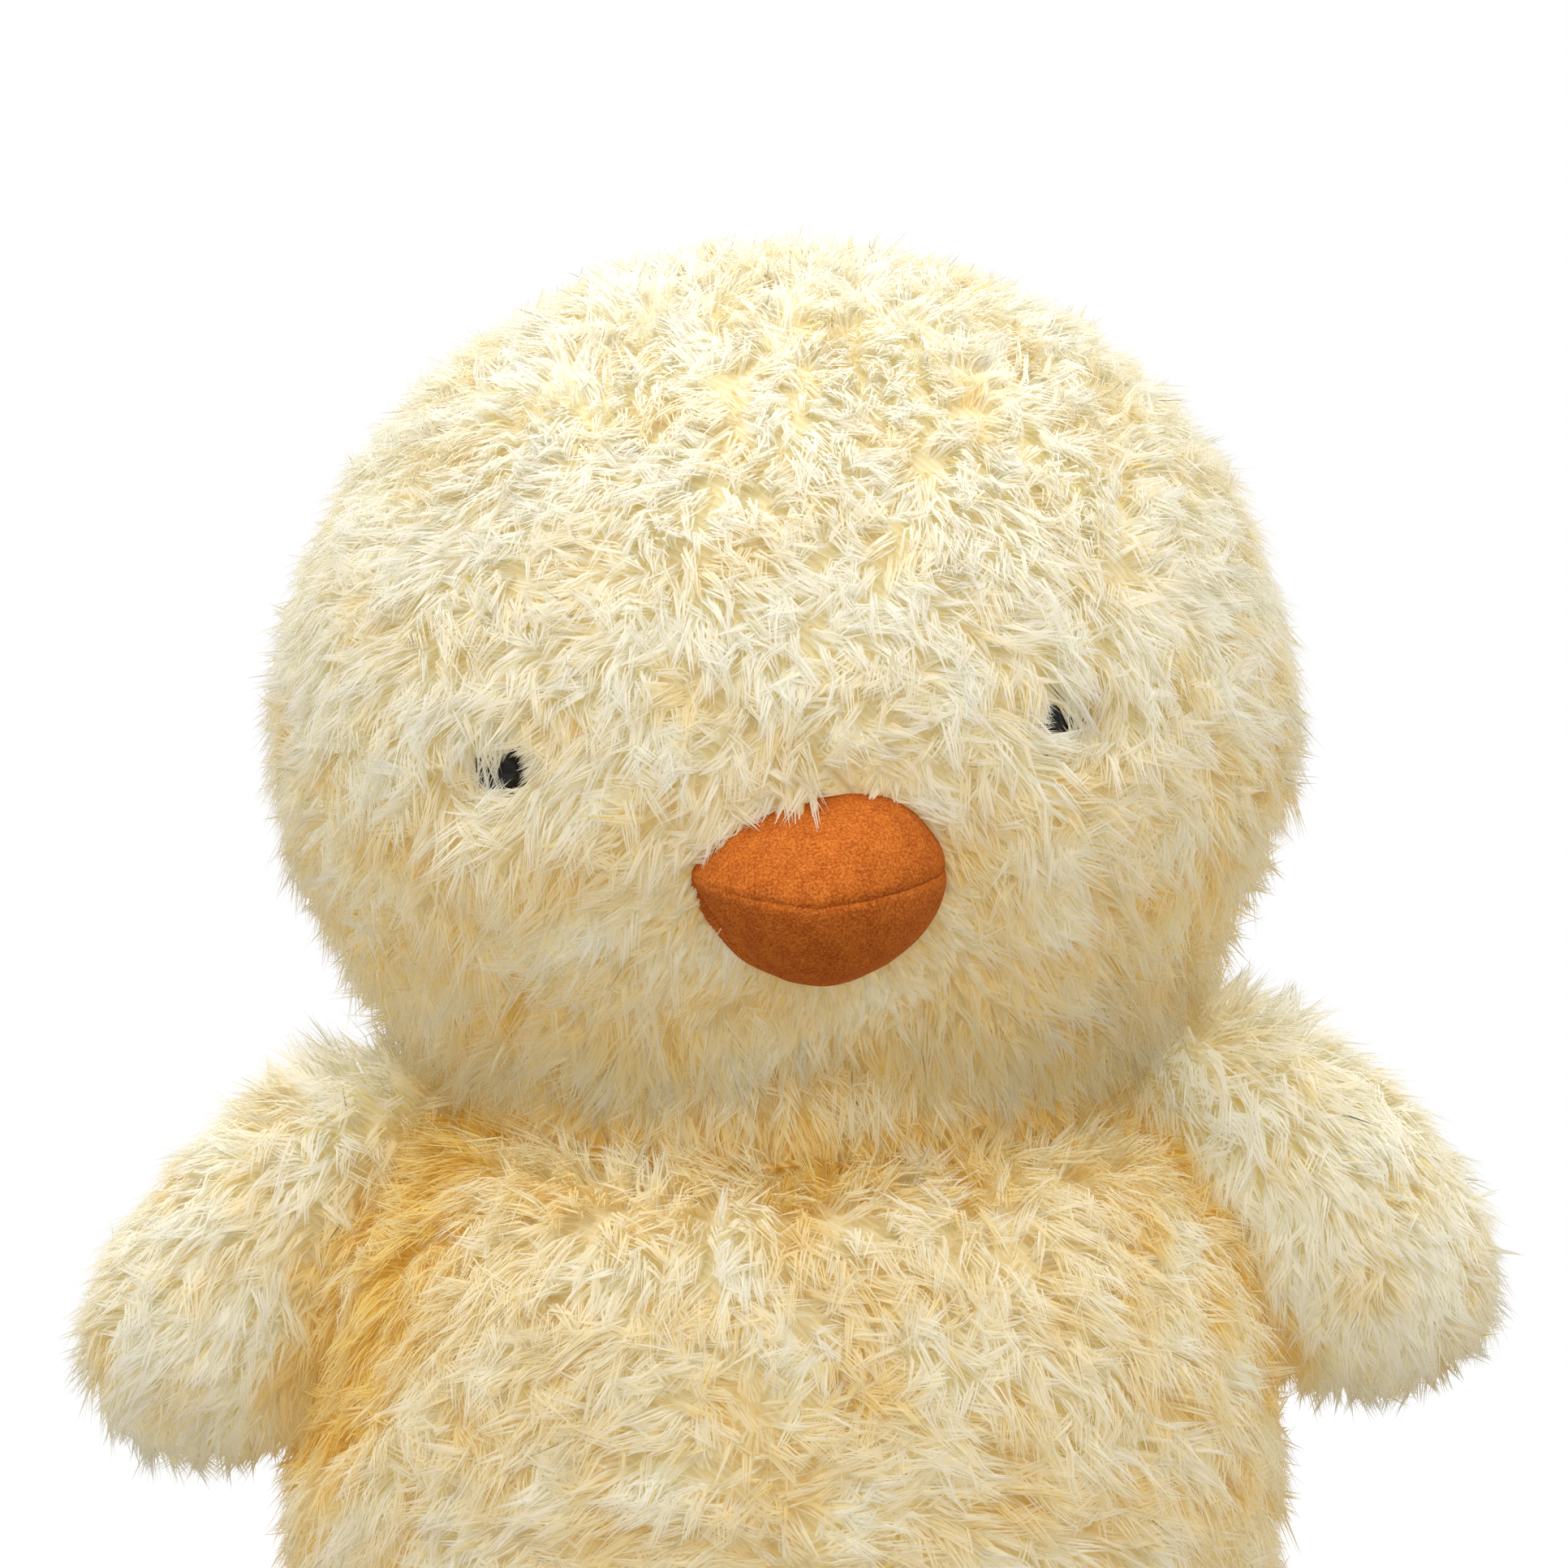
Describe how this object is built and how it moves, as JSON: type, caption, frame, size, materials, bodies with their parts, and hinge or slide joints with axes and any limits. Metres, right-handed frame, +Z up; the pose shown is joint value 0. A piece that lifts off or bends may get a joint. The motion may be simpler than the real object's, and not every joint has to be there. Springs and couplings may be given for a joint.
{
  "type": "plush chicken",
  "caption": "Sitting stuffed toy chick with long pale yellow pile, felt beak and feet, button-like eyes, and a head and wings that move on soft seams.",
  "frame": {"origin": "middle of the flat base that the toy sits on", "axes": "+Z up, the face looks towards -Y, the toy's left side is +X"},
  "size_m": [0.239, 0.1913, 0.2897],
  "materials": {
    "pale_yellow_plush": "matte",
    "orange_felt": "matte",
    "fibrefill": "matte",
    "base_cloth": "matte",
    "pouch_muslin": "matte",
    "pellets": "matte",
    "golden_thread": "matte",
    "black_eye": "gloss",
    "white_washer": "matte"
  },
  "bodies": {
    "body": {"body_cover": "pale_yellow_plush", "body_filling": "fibrefill", "base_panel": "base_cloth", "pellet_bag": "pouch_muslin", "pellet_fill": "pellets", "tail_cover": "pale_yellow_plush", "tail_filling": "fibrefill"},
    "neck_seam": {"neck_thread": "golden_thread"},
    "neck": {"neck_filling": "fibrefill"},
    "head": {"head_cover": "pale_yellow_plush", "neck_gusset": "pale_yellow_plush", "head_filling": "fibrefill", "upper_beak": "orange_felt", "lower_beak": "orange_felt", "beak_filling": "fibrefill", "left_eye": "black_eye", "right_eye": "black_eye", "left_eye_washer": "white_washer", "right_eye_washer": "white_washer"},
    "left_wing": {"left_wing_cover": "pale_yellow_plush", "left_wing_filling": "fibrefill"},
    "right_wing": {"right_wing_cover": "pale_yellow_plush", "right_wing_filling": "fibrefill"},
    "left_foot": {"left_foot_top": "orange_felt", "left_foot_sole": "orange_felt", "left_foot_filling": "fibrefill"},
    "right_foot": {"right_foot_top": "orange_felt", "right_foot_sole": "orange_felt", "right_foot_filling": "fibrefill"}
  },
  "joints": [
    {"name": "head_turn", "type": "hinge", "parent": "body", "child": "neck_seam", "pos_m": [0, 0, 0.151], "axis": [0, 0, 1], "range_deg": [-20, 20], "stiffness_Nm_per_rad": 0.6},
    {"name": "head_nod", "type": "hinge", "parent": "neck_seam", "child": "neck", "pos_m": [0, 0, 0.151], "axis": [1, 0, 0], "range_deg": [-8, 10], "stiffness_Nm_per_rad": 1.5},
    {"name": "head_lean", "type": "hinge", "parent": "neck", "child": "head", "pos_m": [0, 0, 0.151], "axis": [0, 1, 0], "range_deg": [-5, 5], "stiffness_Nm_per_rad": 1.5},
    {"name": "left_wing_lift", "type": "hinge", "parent": "body", "child": "left_wing", "pos_m": [0.05775, 0, 0.142], "axis": [0, -1, 0], "range_deg": [0, 22], "stiffness_Nm_per_rad": 0.1},
    {"name": "right_wing_lift", "type": "hinge", "parent": "body", "child": "right_wing", "pos_m": [-0.06058, 0, 0.14], "axis": [0, 1, 0], "range_deg": [0, 22], "stiffness_Nm_per_rad": 0.1},
    {"name": "left_foot_lift", "type": "hinge", "parent": "body", "child": "left_foot", "pos_m": [0.033, -0.045, 0.0015], "axis": [-0.9563, -0.2924, 0], "range_deg": [0, 20], "stiffness_Nm_per_rad": 0.05},
    {"name": "right_foot_lift", "type": "hinge", "parent": "body", "child": "right_foot", "pos_m": [-0.033, -0.045, 0.0015], "axis": [-0.9563, 0.2924, 0], "range_deg": [0, 20], "stiffness_Nm_per_rad": 0.05}
  ]
}
